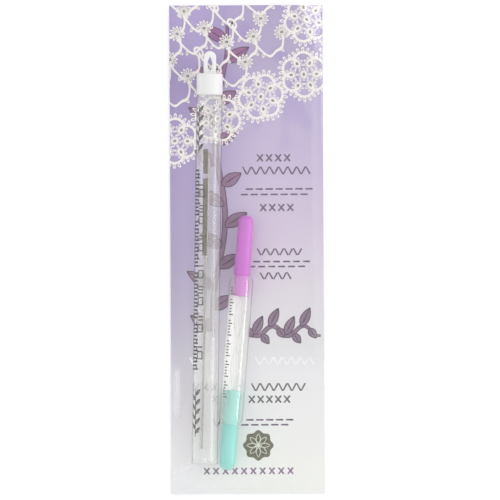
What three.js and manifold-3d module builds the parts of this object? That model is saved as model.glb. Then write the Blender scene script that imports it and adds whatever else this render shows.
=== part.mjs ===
// A tatting needle in its retail pack: a folded instruction leaflet in a clear film sleeve, with the
// needle in a clear tube under a white hang cap, and a double-ended needle threader in a second clear
// tube beside it.
//
// The pack lies on its back. +Z points up out of the leaflet's printed face, +Y points to the hang cap's
// end, and +X to the right when the face is read upright. The origin is at the centre of the sleeve's
// underside. Lengths are in millimetres and angles in degrees.

import * as THREE from 'three'
import * as BufferGeometryUtils from 'three/addons/utils/BufferGeometryUtils.js'
import Module from 'manifold-3d'

// Clearance between two pieces that rest on each other or slide on each other
const LOOSE = 0.3

// Leaflet: one sheet folded in three, its free flap in the middle
const LEAFLET_WIDTH = 67.8
const LEAFLET_LENGTH = 215.9
const PAPER = 0.2
const FOLD_GAP = 0.2
const FLAP_SHORT = 2.0

// Film sleeve: two webs welded along both sides and the lower end, and open at the upper end
const FILM = 0.2
const SEAL_WIDTH = 0.8
const WELD_SLOPE = 0.2

// Needle tube: a clear round tube with a closed foot and a reduced neck for the cap
const NEEDLE_TUBE_RADIUS = 5.75
const NEEDLE_TUBE_WALL = 0.8
const NEEDLE_TUBE_FLOOR = 1.2
const NEEDLE_TUBE_EDGE = 0.5
const NEEDLE_TUBE_LEAN = 1.03
const NEEDLE_TUBE_FROM_LEFT = 14.82
const NEEDLE_TUBE_ABOVE_END = 13.26
const NECK_LENGTH = 7.2
const NECK_WALL = 0.8

// Needle: a plain wire of one thickness with a long eye and a blunt tip
const NEEDLE_RADIUS = 0.45
const NEEDLE_LENGTH = 129.2
const NEEDLE_ABOVE_FLOOR = 5.2
const NEEDLE_HEADROOM = 26.8
const NEEDLE_EYE_OFFSET = 0.09
const NEEDLE_TIP_OFFSET = -1.5
const EYE_LENGTH = 3.4
const EYE_WIDTH = 0.36
const EYE_FROM_END = 0.9

// Hang cap: a push-on cap with a flat hang tab
const CAP_HEIGHT = 9.35
const CAP_WALL = 0.75
const CAP_EDGE = 0.7
const TAB_WIDTH = 5.5
const TAB_HEIGHT = 9.9
const TAB_THICKNESS = 1.6
const TAB_EYE_WIDTH = 2.1
const TAB_EYE_LENGTH = 6.7
const TAB_EYE_ABOVE_CAP = 0.8

// Threader tube: a clear round tube drawn in to a mouth at each end
const THREADER_RADIUS = 5.3
const THREADER_WALL = 0.8
const THREADER_LENGTH = 65.7
const THREADER_SHOULDER = 4.0
const THREADER_LIP_WALL = 0.55
const THREADER_LEAN = 4.68
const THREADER_ABOVE_END = 10.5
const TUBES_APART = 0.3

// Threader handles: a plug that the tube's mouth grips, and a rounded grip outside it
const PLUG_RADIUS = 3.15
const TEAL_PLUG_LENGTH = 15.0
const TEAL_GRIP_LENGTH = 20.0
const TEAL_GRIP_RADIUS = 3.55
const TEAL_END_ROUND = 3.0
const PURPLE_PLUG_LENGTH = 9.0
const PURPLE_GRIP_LENGTH = 26.8
const PURPLE_GRIP_RADIUS = 3.6
const PURPLE_TOP_RADIUS = 3.3
const PURPLE_END_ROUND = 1.7
const GRIP_EDGE = 0.25

// Wire loops: a fine hairpin in each handle, its two legs held in a hole in the plug
const WIRE_RADIUS = 0.13
const WIRE_LEG_GAP = 0.14
const WIRE_LEG_DEPTH = 4.6
const LOOP_WIDTH = 3.4
const LOOP_TIPS_APART = 2.0

// Fineness of the round forms
const TUBE_SIDES = 32
const HANDLE_SIDES = 28
const NEEDLE_SIDES = 12
const ROUND_STEPS = 5
const HUMP_STEPS = 4
const WIRE_SIDES = 6
const WIRE_STEPS = 48
const WELD = 1e-4

// Heights of the stack, from the sleeve's underside up
const LEAFLET_BOTTOM = FILM + LOOSE
const LEAFLET_THICKNESS = 3 * PAPER + 2 * FOLD_GAP
const LEAFLET_TOP = LEAFLET_BOTTOM + LEAFLET_THICKNESS
const NEEDLE_TUBE_Z = LEAFLET_TOP + LOOSE + NEEDLE_TUBE_RADIUS
const THREADER_Z = LEAFLET_TOP + LOOSE + THREADER_RADIUS

// Plan sizes of the sleeve
const SLEEVE_INNER_HALF_WIDTH = LEAFLET_WIDTH / 2 + LOOSE
const SLEEVE_HALF_WIDTH = SLEEVE_INNER_HALF_WIDTH + SEAL_WIDTH
const SLEEVE_FOOT_Y = -(LEAFLET_LENGTH / 2 + LOOSE)
const SLEEVE_HALF_LENGTH = WELD_SLOPE + SEAL_WIDTH - SLEEVE_FOOT_Y

// Needle tube's own lengths, measured up its axis from its foot
const BARREL_LENGTH = NEEDLE_TUBE_FLOOR + NEEDLE_ABOVE_FLOOR + NEEDLE_LENGTH + NEEDLE_HEADROOM + LOOSE
const NECK_RADIUS = NEEDLE_TUBE_RADIUS - CAP_WALL - LOOSE

const wasm = await Module()
wasm.setup()

const radians = THREE.MathUtils.degToRad

// Solids

// A geometry as a closed solid, its doubled vertices merged and its empty triangles dropped.
function toSolid(geometry) {
  const bare = geometry.clone()
  bare.deleteAttribute('normal')
  bare.deleteAttribute('uv')
  const merged = BufferGeometryUtils.mergeVertices(bare, WELD)
  const corners = merged.index.array
  const triangles = []
  for (let i = 0; i < corners.length; i += 3) {
    const [a, b, c] = corners.slice(i, i + 3)
    if (a !== b && b !== c && c !== a) triangles.push(a, b, c)
  }
  return new wasm.Manifold(new wasm.Mesh({
    numProp: 3,
    vertProperties: merged.attributes.position.array,
    triVerts: new Uint32Array(triangles),
  }))
}

function toGeometry(solid) {
  const mesh = solid.getMesh()
  const geometry = new THREE.BufferGeometry()
  geometry.setAttribute('position', new THREE.BufferAttribute(mesh.vertProperties, 3))
  geometry.setIndex(new THREE.BufferAttribute(mesh.triVerts, 1))
  geometry.computeVertexNormals()
  return geometry
}

// A solid turned round the Y axis from a profile of radii and heights.
function turned(profile, sides) {
  const points = profile.map(([radius, height]) => new THREE.Vector2(radius, height))
  return toSolid(new THREE.LatheGeometry(points, sides))
}

// Points of a quarter ellipse from start to end. It leaves start along Y, or along the radius with
// flatStart.
function quarterRound(start, end, flatStart = false) {
  const points = []
  for (let i = 0; i <= ROUND_STEPS; i++) {
    const angle = (i / ROUND_STEPS) * (Math.PI / 2)
    const slow = 1 - Math.cos(angle)
    const quick = Math.sin(angle)
    const across = flatStart ? quick : slow
    const along = flatStart ? slow : quick
    points.push([start[0] + (end[0] - start[0]) * across, start[1] + (end[1] - start[1]) * along])
  }
  return points
}

// A line of [x, z] points moved to its left by a distance, with mitred corners.
function offsetLine(points, distance) {
  const normals = []
  for (let i = 0; i + 1 < points.length; i++) {
    const [dx, dz] = [points[i + 1][0] - points[i][0], points[i + 1][1] - points[i][1]]
    const length = Math.hypot(dx, dz)
    normals.push([-dz / length, dx / length])
  }
  return points.map(([x, z], i) => {
    const [ax, az] = normals[Math.max(i - 1, 0)]
    const [bx, bz] = normals[Math.min(i, normals.length - 1)]
    const reach = distance / (1 + ax * bx + az * bz)
    return [x + (ax + bx) * reach, z + (az + bz) * reach]
  })
}

// A closed sheet between two grids of points, with rims all round. Rows run toward -Y and columns toward +X.
function sheetSolid(upper, lower) {
  const rows = upper.length
  const columns = upper[0].length
  const positions = [...upper.flat(), ...lower.flat()].flat()
  const top = (i, j) => i * columns + j
  const under = (i, j) => rows * columns + top(i, j)
  const index = []
  const quad = (a, b, c, d) => index.push(a, b, c, a, c, d)
  for (let i = 0; i + 1 < rows; i++) {
    for (let j = 0; j + 1 < columns; j++) {
      quad(top(i, j), top(i + 1, j), top(i + 1, j + 1), top(i, j + 1))
      quad(under(i, j), under(i, j + 1), under(i + 1, j + 1), under(i + 1, j))
    }
    quad(top(i + 1, 0), top(i, 0), under(i, 0), under(i + 1, 0))
    quad(top(i, columns - 1), top(i + 1, columns - 1), under(i + 1, columns - 1), under(i, columns - 1))
  }
  for (let j = 0; j + 1 < columns; j++) {
    quad(top(0, j), top(0, j + 1), under(0, j + 1), under(0, j))
    quad(top(rows - 1, j + 1), top(rows - 1, j), under(rows - 1, j), under(rows - 1, j + 1))
  }
  const geometry = new THREE.BufferGeometry()
  geometry.setAttribute('position', new THREE.Float32BufferAttribute(positions, 3))
  geometry.setIndex(index)
  return toSolid(geometry)
}

// Leaflet

// The middle line of the folded sheet, seen from its lower end: flap, fold, back panel, spine, front panel.
function foldedLine() {
  const pitch = PAPER + FOLD_GAP
  const back = LEAFLET_BOTTOM + PAPER / 2
  const flap = back + pitch
  const front = flap + pitch
  const half = LEAFLET_WIDTH / 2
  const foldAt = half - PAPER / 2 - pitch / 2
  const spineAt = -(half - PAPER / 2 - pitch)
  const line = [[spineAt + FLAP_SHORT, flap]]
  for (let i = 0; i <= 2 * ROUND_STEPS; i++) {
    const angle = Math.PI / 2 - (i / (2 * ROUND_STEPS)) * Math.PI
    line.push([foldAt + (pitch / 2) * Math.cos(angle), back + pitch / 2 + (pitch / 2) * Math.sin(angle)])
  }
  for (let i = 0; i <= 2 * ROUND_STEPS; i++) {
    const angle = -Math.PI / 2 - (i / (2 * ROUND_STEPS)) * Math.PI
    line.push([spineAt + pitch * Math.cos(angle), flap + pitch * Math.sin(angle)])
  }
  line.push([half, front])
  return line
}

function leafletGeometry() {
  const line = foldedLine()
  const outline = [...offsetLine(line, PAPER / 2), ...offsetLine(line, -PAPER / 2).reverse()]
  const shape = new THREE.Shape(outline.map(([x, z]) => new THREE.Vector2(x, z)))
  const geometry = new THREE.ExtrudeGeometry(shape, { depth: LEAFLET_LENGTH, bevelEnabled: false })
  geometry.rotateX(Math.PI / 2)
  geometry.translate(0, LEAFLET_LENGTH / 2, 0)
  return toGeometry(toSolid(geometry))
}

// Needle tube, needle and cap, each drawn along +Y from the tube's foot

function needleTubeGeometry() {
  const outer = NEEDLE_TUBE_RADIUS
  const bore = outer - NEEDLE_TUBE_WALL
  const neckBore = NECK_RADIUS - NECK_WALL
  const neckEnd = BARREL_LENGTH + NECK_LENGTH
  return toGeometry(turned([
    [0, 0],
    ...quarterRound([outer - NEEDLE_TUBE_EDGE, 0], [outer, NEEDLE_TUBE_EDGE], true),
    [outer, BARREL_LENGTH],
    [NECK_RADIUS, BARREL_LENGTH],
    [NECK_RADIUS, neckEnd],
    [neckBore, neckEnd],
    [neckBore, BARREL_LENGTH - NEEDLE_TUBE_WALL],
    [bore, BARREL_LENGTH - NEEDLE_TUBE_WALL - (bore - neckBore)],
    [bore, NEEDLE_TUBE_FLOOR + NEEDLE_TUBE_EDGE],
    [bore - NEEDLE_TUBE_EDGE, NEEDLE_TUBE_FLOOR],
    [0, NEEDLE_TUBE_FLOOR],
  ], TUBE_SIDES))
}

function needleGeometry() {
  const blunt = NEEDLE_RADIUS
  const shaft = turned([
    [0, 0],
    ...quarterRound([0.1 * blunt, 0], [NEEDLE_RADIUS, 2 * blunt], true),
    ...quarterRound([NEEDLE_RADIUS, NEEDLE_LENGTH - blunt], [0.1 * blunt, NEEDLE_LENGTH]),
    [0, NEEDLE_LENGTH],
  ], NEEDLE_SIDES)
  const halfSlot = EYE_LENGTH / 2 - EYE_WIDTH / 2
  const slot = new THREE.Shape()
  slot.absarc(0, halfSlot, EYE_WIDTH / 2, 0, Math.PI)
  slot.absarc(0, -halfSlot, EYE_WIDTH / 2, Math.PI, 2 * Math.PI)
  const through = { depth: 4 * NEEDLE_RADIUS, bevelEnabled: false, curveSegments: ROUND_STEPS }
  const cutter = new THREE.ExtrudeGeometry(slot, through)
  cutter.translate(0, NEEDLE_LENGTH - EYE_FROM_END - EYE_LENGTH / 2, -2 * NEEDLE_RADIUS)
  return toGeometry(shaft.subtract(toSolid(cutter)))
}

// The needle lies on the lower wall of the bore, a little askew: its place in the tube at each end.
function needlePlace() {
  const seat = NEEDLE_TUBE_RADIUS - NEEDLE_TUBE_WALL - NEEDLE_RADIUS - LOOSE
  const place = (offset, height) => new THREE.Vector3(offset, height, -Math.sqrt(seat ** 2 - offset ** 2))
  const tipHeight = NEEDLE_TUBE_FLOOR + NEEDLE_ABOVE_FLOOR
  return [place(NEEDLE_TIP_OFFSET, tipHeight), place(NEEDLE_EYE_OFFSET, tipHeight + NEEDLE_LENGTH)]
}

function hangCapGeometry() {
  const outer = NEEDLE_TUBE_RADIUS
  const socket = NECK_RADIUS + LOOSE
  const socketDepth = NECK_LENGTH
  const cap = turned([
    [0, socketDepth],
    [socket, socketDepth],
    [socket, 0],
    [outer, 0],
    ...quarterRound([outer, CAP_HEIGHT - CAP_EDGE], [outer - CAP_EDGE, CAP_HEIGHT]),
    [0, CAP_HEIGHT],
  ], TUBE_SIDES)
  return toGeometry(cap.add(toSolid(hangTabGeometry())))
}

// The tab is sunk into the cap's end by half of that end's thickness. Its eye is pointed at both ends.
function hangTabGeometry() {
  const sunk = (CAP_HEIGHT - NECK_LENGTH) / 2
  const half = TAB_WIDTH / 2
  const shape = new THREE.Shape()
  shape.moveTo(-half, CAP_HEIGHT - sunk)
  shape.lineTo(half, CAP_HEIGHT - sunk)
  shape.lineTo(half, CAP_HEIGHT + TAB_HEIGHT - half)
  shape.absarc(0, CAP_HEIGHT + TAB_HEIGHT - half, half, 0, Math.PI)
  shape.closePath()
  const low = CAP_HEIGHT + TAB_EYE_ABOVE_CAP
  const eye = new THREE.Path()
  eye.moveTo(0, low)
  eye.quadraticCurveTo(TAB_EYE_WIDTH, low + TAB_EYE_LENGTH / 2, 0, low + TAB_EYE_LENGTH)
  eye.quadraticCurveTo(-TAB_EYE_WIDTH, low + TAB_EYE_LENGTH / 2, 0, low)
  shape.holes.push(eye)
  const geometry = new THREE.ExtrudeGeometry(shape, {
    depth: TAB_THICKNESS,
    bevelEnabled: false,
    curveSegments: 2 * ROUND_STEPS,
  })
  return geometry.translate(0, 0, -TAB_THICKNESS / 2)
}

// Threader pieces, each drawn along +Y from the tube's lower mouth

function threaderTubeGeometry() {
  const mouth = PLUG_RADIUS + LOOSE
  const lip = mouth + THREADER_LIP_WALL
  const bore = THREADER_RADIUS - THREADER_WALL
  const innerShoulder = THREADER_SHOULDER + THREADER_WALL
  const end = THREADER_LENGTH
  return toGeometry(turned([
    ...quarterRound([lip, 0], [THREADER_RADIUS, THREADER_SHOULDER], true),
    ...quarterRound([THREADER_RADIUS, end - THREADER_SHOULDER], [lip, end]),
    [mouth, end],
    ...quarterRound([mouth, end - THREADER_WALL], [bore, end - innerShoulder], true),
    ...quarterRound([bore, innerShoulder], [mouth, THREADER_WALL]),
    [mouth, 0],
    [lip, 0],
  ], TUBE_SIDES))
}

// The hole that holds a wire loop's legs in a plug's end.
const LEG_HOLE_RADIUS = WIRE_LEG_GAP / 2 + 2 * WIRE_RADIUS + LOOSE
const LEG_HOLE_DEPTH = WIRE_LEG_DEPTH + LOOSE

function tealHandleGeometry() {
  const gripEnd = -LOOSE - TEAL_GRIP_LENGTH
  return toGeometry(turned([
    [0, gripEnd],
    ...quarterRound(
      [TEAL_GRIP_RADIUS - TEAL_END_ROUND, gripEnd],
      [TEAL_GRIP_RADIUS, gripEnd + TEAL_END_ROUND],
      true,
    ),
    [TEAL_GRIP_RADIUS, -LOOSE - GRIP_EDGE],
    [TEAL_GRIP_RADIUS - GRIP_EDGE, -LOOSE],
    [PLUG_RADIUS, -LOOSE],
    [PLUG_RADIUS, TEAL_PLUG_LENGTH - GRIP_EDGE],
    [PLUG_RADIUS - GRIP_EDGE, TEAL_PLUG_LENGTH],
    [LEG_HOLE_RADIUS, TEAL_PLUG_LENGTH],
    [LEG_HOLE_RADIUS, TEAL_PLUG_LENGTH - LEG_HOLE_DEPTH],
    [0, TEAL_PLUG_LENGTH - LEG_HOLE_DEPTH],
  ], HANDLE_SIDES))
}

function purpleHandleGeometry() {
  const plugEnd = THREADER_LENGTH - PURPLE_PLUG_LENGTH
  const seat = THREADER_LENGTH + LOOSE
  const gripEnd = seat + PURPLE_GRIP_LENGTH
  return toGeometry(turned([
    [0, plugEnd + LEG_HOLE_DEPTH],
    [LEG_HOLE_RADIUS, plugEnd + LEG_HOLE_DEPTH],
    [LEG_HOLE_RADIUS, plugEnd],
    [PLUG_RADIUS - GRIP_EDGE, plugEnd],
    [PLUG_RADIUS, plugEnd + GRIP_EDGE],
    [PLUG_RADIUS, seat],
    [PURPLE_GRIP_RADIUS - GRIP_EDGE, seat],
    [PURPLE_GRIP_RADIUS, seat + GRIP_EDGE],
    ...quarterRound(
      [PURPLE_TOP_RADIUS, gripEnd - PURPLE_END_ROUND],
      [PURPLE_TOP_RADIUS - PURPLE_END_ROUND, gripEnd],
    ),
    [0, gripEnd],
  ], HANDLE_SIDES))
}

const LOOP_LENGTH = (THREADER_LENGTH - TEAL_PLUG_LENGTH - PURPLE_PLUG_LENGTH - LOOP_TIPS_APART) / 2

// One wire loop, its legs below y = 0 and its tip at y = LOOP_LENGTH.
function wireLoopGeometry() {
  const leg = WIRE_LEG_GAP / 2 + WIRE_RADIUS
  const bulge = LOOP_WIDTH / 2
  const half = [
    [leg, -WIRE_LEG_DEPTH],
    [leg, -WIRE_LEG_DEPTH / 2],
    [leg, 0],
    [0.55 * bulge, 0.2 * LOOP_LENGTH],
    [bulge, 0.5 * LOOP_LENGTH],
    [0.6 * bulge, 0.8 * LOOP_LENGTH],
    [0.3 * bulge, LOOP_LENGTH - 1.5 * bulge],
  ]
  const otherHalf = half.map(([x, y]) => [-x, y]).reverse()
  const route = [...half, [0, LOOP_LENGTH], ...otherHalf].map(([x, y]) => new THREE.Vector3(x, y, 0))
  const section = new THREE.Shape()
  section.absarc(0, 0, WIRE_RADIUS, 0, 2 * Math.PI)
  return toGeometry(toSolid(new THREE.ExtrudeGeometry(section, {
    steps: WIRE_STEPS,
    curveSegments: WIRE_SIDES / 2,
    extrudePath: new THREE.CatmullRomCurve3(route, false, 'centripetal'),
  })))
}

// Where the two tubes lie on the leaflet

const needleTubeFoot = new THREE.Vector3(
  NEEDLE_TUBE_FROM_LEFT - LEAFLET_WIDTH / 2,
  NEEDLE_TUBE_ABOVE_END - LEAFLET_LENGTH / 2,
  NEEDLE_TUBE_Z,
)

const needleTubeX = (y) => needleTubeFoot.x + (y - needleTubeFoot.y) * Math.tan(radians(NEEDLE_TUBE_LEAN))

// The threader's tube lies nearest to the needle's tube where its full width begins.
function threaderFootPlace() {
  const lean = radians(THREADER_LEAN)
  const gripReach = (TEAL_GRIP_LENGTH + LOOSE) * Math.cos(lean)
  const footY = THREADER_ABOVE_END + gripReach - LEAFLET_LENGTH / 2
  const nearestY = footY + THREADER_SHOULDER * Math.cos(lean)
  const nearestX = needleTubeX(nearestY) + NEEDLE_TUBE_RADIUS + TUBES_APART + THREADER_RADIUS
  return new THREE.Vector3(nearestX - THREADER_SHOULDER * Math.sin(lean), footY, THREADER_Z)
}

const threaderFoot = threaderFootPlace()

const threaderX = (y) => threaderFoot.x + (y - threaderFoot.y) * Math.tan(radians(THREADER_LEAN))

// Film sleeve

// The front web's inner line at one place along the pack, drawn tight over both tubes.
function filmLine(y) {
  const corner = LEAFLET_TOP + LOOSE
  const root = SLEEVE_INNER_HALF_WIDTH
  const left = { x: needleTubeX(y), z: NEEDLE_TUBE_Z, radius: NEEDLE_TUBE_RADIUS + LOOSE }
  const right = { x: threaderX(y), z: THREADER_Z, radius: THREADER_RADIUS + LOOSE }
  const leftSpan = Math.hypot(left.x + root, left.z - corner)
  const rightSpan = Math.hypot(root - right.x, right.z - corner)
  const between = Math.hypot(right.x - left.x, right.z - left.z)
  const leftTouch = Math.PI + Math.atan2(left.z - corner, left.x + root) - Math.acos(left.radius / leftSpan)
  const rightTouch = -Math.atan2(right.z - corner, root - right.x) + Math.acos(right.radius / rightSpan)
  const bridgeTilt = Math.acos((left.radius - right.radius) / between)
  const bridge = Math.atan2(right.z - left.z, right.x - left.x) + bridgeTilt
  return [
    [-SLEEVE_HALF_WIDTH, FILM],
    [-root, FILM],
    [-root, corner],
    ...hump(left, leftTouch, bridge),
    ...hump(right, bridge, rightTouch),
    [root, corner],
    [root, FILM],
    [SLEEVE_HALF_WIDTH, FILM],
  ]
}

function hump(circle, from, to) {
  const points = []
  for (let i = 0; i <= HUMP_STEPS; i++) {
    const angle = from + (to - from) * (i / HUMP_STEPS)
    points.push([circle.x + circle.radius * Math.cos(angle), circle.z + circle.radius * Math.sin(angle)])
  }
  return points
}

// The front web comes down past the tubes' feet to the leaflet's end, and is welded flat beyond it.
function frontFilmGeometry() {
  const contentsEnd = Math.min(needleTubeFoot.y, THREADER_ABOVE_END - LEAFLET_LENGTH / 2) - LOOSE
  const tall = NEEDLE_TUBE_Z + NEEDLE_TUBE_RADIUS + THREADER_RADIUS
  const stations = []
  for (let i = 0; i <= HUMP_STEPS; i++) {
    stations.push([THREE.MathUtils.lerp(SLEEVE_HALF_LENGTH, contentsEnd, i / HUMP_STEPS), tall])
  }
  stations.push([SLEEVE_FOOT_Y, LEAFLET_TOP + LOOSE])
  stations.push([SLEEVE_FOOT_Y - WELD_SLOPE, FILM])
  stations.push([-SLEEVE_HALF_LENGTH, FILM])
  const row = (line, y, limit) => line.map(([x, z]) => [x, y, Math.min(z, limit)])
  const upper = stations.map(([y, limit]) => row(offsetLine(filmLine(y), FILM), y, limit + FILM))
  const lower = stations.map(([y, limit]) => row(filmLine(y), y, limit))
  return toGeometry(sheetSolid(upper, lower))
}

function backFilmGeometry() {
  const geometry = new THREE.BoxGeometry(2 * SLEEVE_HALF_WIDTH, 2 * SLEEVE_HALF_LENGTH, FILM)
  return geometry.translate(0, 0, FILM / 2)
}

// Materials

function clearPlastic(color, opacity, roughness) {
  return new THREE.MeshStandardMaterial({ color, opacity, transparent: true, roughness, metalness: 0 })
}

function plastic(color, roughness) {
  return new THREE.MeshStandardMaterial({ color, roughness, metalness: 0 })
}

const filmMaterial = clearPlastic(0xf4f5f8, 0.15, 0.1)
const paperMaterial = new THREE.MeshStandardMaterial({ color: 0xc9bfdc, roughness: 0.7, metalness: 0 })
const tubeMaterial = clearPlastic(0xf2f3f2, 0.3, 0.08)
const capMaterial = plastic(0xf2f0ee, 0.45)
const steelMaterial = new THREE.MeshStandardMaterial({ color: 0xc8c5ba, roughness: 0.25, metalness: 1 })
const purpleMaterial = plastic(0xc77fd6, 0.35)
const tealMaterial = plastic(0x8fe3d0, 0.35)

// Assembly

function piece(name, geometry, material) {
  const mesh = new THREE.Mesh(geometry, material)
  mesh.name = name
  return mesh
}

function needleInTube() {
  const [tip, eye] = needlePlace()
  const needle = piece('tatting_needle', needleGeometry(), steelMaterial)
  const up = new THREE.Vector3(0, 1, 0)
  needle.quaternion.setFromUnitVectors(up, eye.clone().sub(tip).normalize())
  needle.position.copy(tip)
  return needle
}

function needleTubeGroup() {
  const group = new THREE.Group()
  group.position.copy(needleTubeFoot)
  group.rotation.z = -radians(NEEDLE_TUBE_LEAN)
  const cap = piece('hang_cap', hangCapGeometry(), capMaterial)
  cap.position.y = BARREL_LENGTH + LOOSE
  group.add(piece('needle_tube', needleTubeGeometry(), tubeMaterial), needleInTube(), cap)
  return group
}

function threaderGroup() {
  const group = new THREE.Group()
  group.position.copy(threaderFoot)
  group.rotation.z = -radians(THREADER_LEAN)
  const tealLoop = piece('teal_wire_loop', wireLoopGeometry(), steelMaterial)
  tealLoop.position.y = TEAL_PLUG_LENGTH
  const purpleLoop = piece('purple_wire_loop', wireLoopGeometry(), steelMaterial)
  purpleLoop.position.y = THREADER_LENGTH - PURPLE_PLUG_LENGTH
  purpleLoop.rotation.z = Math.PI
  group.add(
    piece('threader_tube', threaderTubeGeometry(), tubeMaterial),
    piece('teal_handle', tealHandleGeometry(), tealMaterial),
    tealLoop,
    piece('purple_handle', purpleHandleGeometry(), purpleMaterial),
    purpleLoop,
  )
  return group
}

const pack = new THREE.Group()
pack.add(
  piece('sleeve_back_film', backFilmGeometry(), filmMaterial),
  piece('folded_leaflet', leafletGeometry(), paperMaterial),
  needleTubeGroup(),
  threaderGroup(),
  piece('sleeve_front_film', frontFilmGeometry(), filmMaterial),
)

export default pack
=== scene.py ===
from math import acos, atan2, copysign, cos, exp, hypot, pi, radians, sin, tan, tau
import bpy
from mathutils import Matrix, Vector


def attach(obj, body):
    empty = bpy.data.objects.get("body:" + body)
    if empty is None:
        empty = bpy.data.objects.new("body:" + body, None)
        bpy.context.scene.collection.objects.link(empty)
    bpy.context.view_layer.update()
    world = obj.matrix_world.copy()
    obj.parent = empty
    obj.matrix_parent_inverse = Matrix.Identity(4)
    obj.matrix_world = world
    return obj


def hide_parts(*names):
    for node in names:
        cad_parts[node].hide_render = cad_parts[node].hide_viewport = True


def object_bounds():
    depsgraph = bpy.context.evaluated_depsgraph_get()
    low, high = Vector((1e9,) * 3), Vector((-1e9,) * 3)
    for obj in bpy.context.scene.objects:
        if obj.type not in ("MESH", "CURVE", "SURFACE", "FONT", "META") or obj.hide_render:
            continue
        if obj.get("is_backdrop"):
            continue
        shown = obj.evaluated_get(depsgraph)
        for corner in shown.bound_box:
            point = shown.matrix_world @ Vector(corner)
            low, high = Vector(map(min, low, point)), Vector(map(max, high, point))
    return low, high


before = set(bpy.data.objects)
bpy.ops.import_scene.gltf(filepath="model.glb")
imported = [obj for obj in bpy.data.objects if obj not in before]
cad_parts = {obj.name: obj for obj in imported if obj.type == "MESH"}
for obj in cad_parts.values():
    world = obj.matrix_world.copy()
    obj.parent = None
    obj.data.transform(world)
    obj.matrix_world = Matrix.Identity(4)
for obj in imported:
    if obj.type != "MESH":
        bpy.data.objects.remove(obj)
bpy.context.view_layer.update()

# The pack lies on white and is seen from straight above through a long lens, so nothing leans
# outwards. The picture is 221.2 mm square at the leaflet's face, turned by a third of a degree.
from types import SimpleNamespace as Sizes
import bpy
import bmesh
from mathutils import Matrix, Vector, noise

MM = 0.001
LEAFLET_FACE = 1.5
VIEW_WIDTH = 221.2
VIEW_CENTRE = (1.37, -0.34)
VIEW_TURN = -0.00524
LENS = 400.0
SENSOR = 36.0

scene = bpy.context.scene


def added(name, data):
    """A new object in the scene that holds the data."""
    made = bpy.data.objects.new(name, data)
    scene.collection.objects.link(made)
    return made


optics = bpy.data.cameras.new("camera")
optics.lens = LENS
optics.sensor_width = SENSOR
optics.clip_start = 0.1
optics.clip_end = 20.0
camera = added("camera", optics)
camera.location = (VIEW_CENTRE[0] * MM, VIEW_CENTRE[1] * MM,
                   (LEAFLET_FACE + VIEW_WIDTH * LENS / SENSOR) * MM)
camera.rotation_euler = (0, 0, VIEW_TURN)
scene.camera = camera
scene.view_settings.view_transform = "Standard"

# A soft lamp stands to the right of the camera and a weak one to the left, and white paper all
# round gives the rest. Together they light a level surface so that it shows its own colour.
SURROUND = 0.955
LAMP_DISTANCE = 1.2
LAMP_LENGTH = 1.2
LAMP_ALONG = 0.05
FLOOR_HALF = 2.5
FLOOR_DROP = 0.15
FLOOR_SHADE = 0.6
FLOOR_GLOW = 0.52


def soft_lamp(name, tilt, breadth, radiance):
    """A long lamp, tilted over to the right of the camera, or to the left with a negative tilt."""
    light = bpy.data.lights.new(name, "AREA")
    light.shape = "RECTANGLE"
    light.size = breadth
    light.size_y = LAMP_LENGTH
    light.energy = radiance * pi * breadth * LAMP_LENGTH
    lamp = added(name, light)
    lamp.location = (LAMP_DISTANCE * sin(tilt), LAMP_ALONG, LAMP_DISTANCE * cos(tilt))
    lamp.rotation_euler = (0, tilt, 0)
    lamp.visible_camera = False


soft_lamp("right_lamp", radians(65), 0.22, 6.0)
soft_lamp("left_lamp", radians(-72), 0.4, 0.6)

# Light passes through the sleeve and both tubes, a dozen clear skins one behind another.
scene.cycles.transparent_max_bounces = 32


def blank(material):
    """The material or world with no nodes. The caller adds all, its output among them."""
    material.use_nodes = True
    material.node_tree.nodes.clear()
    return material


def new_finish(name):
    return blank(bpy.data.materials.new(name))


def add(kind, sockets, material=None, **settings):
    """The outputs of a new shader node, with values or other nodes' outputs on its sockets. It goes in
    the material, or else in that of those outputs."""
    linked = {name: value for name, value in sockets.items() if isinstance(value, bpy.types.NodeSocket)}
    tree = material.node_tree if material else next(iter(linked.values())).id_data
    node = tree.nodes.new("ShaderNode" + kind)
    for name, value in settings.items():
        setattr(node, name, value)
    for name, value in sockets.items():
        if name in linked:
            tree.links.new(value, node.inputs[name])
        else:
            node.inputs[name].default_value = value
    return node.outputs


def maths(operation, *values):
    """What a Math node makes of numbers and other nodes' outputs."""
    return add("Math", dict(enumerate(values)), operation=operation)[0]


def show(material, shader, target="OutputMaterial"):
    add(target, {"Surface": shader})
    return material


def seen_directly(material):
    """1 for the rays that should find plain white: the camera's, and those off gloss or through glass."""
    path = add("LightPath", {}, material)
    first = maths("MAXIMUM", path["Is Camera Ray"], path["Is Glossy Ray"])
    return maths("MAXIMUM", first, path["Is Transmission Ray"])


def as_mesh(bm, name="pattern"):
    mesh = bpy.data.meshes.new(name)
    bm.to_mesh(mesh)
    bm.free()
    return mesh


paper_room = blank(bpy.data.worlds.new("white_surround"))
scene.world = paper_room
strength = add("MapRange", {
    "Value": seen_directly(paper_room), "To Min": SURROUND, "To Max": 1.0})[0]
show(paper_room, add("Background", {"Color": (1, 1, 1, 1), "Strength": strength})[0], "OutputWorld")

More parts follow.
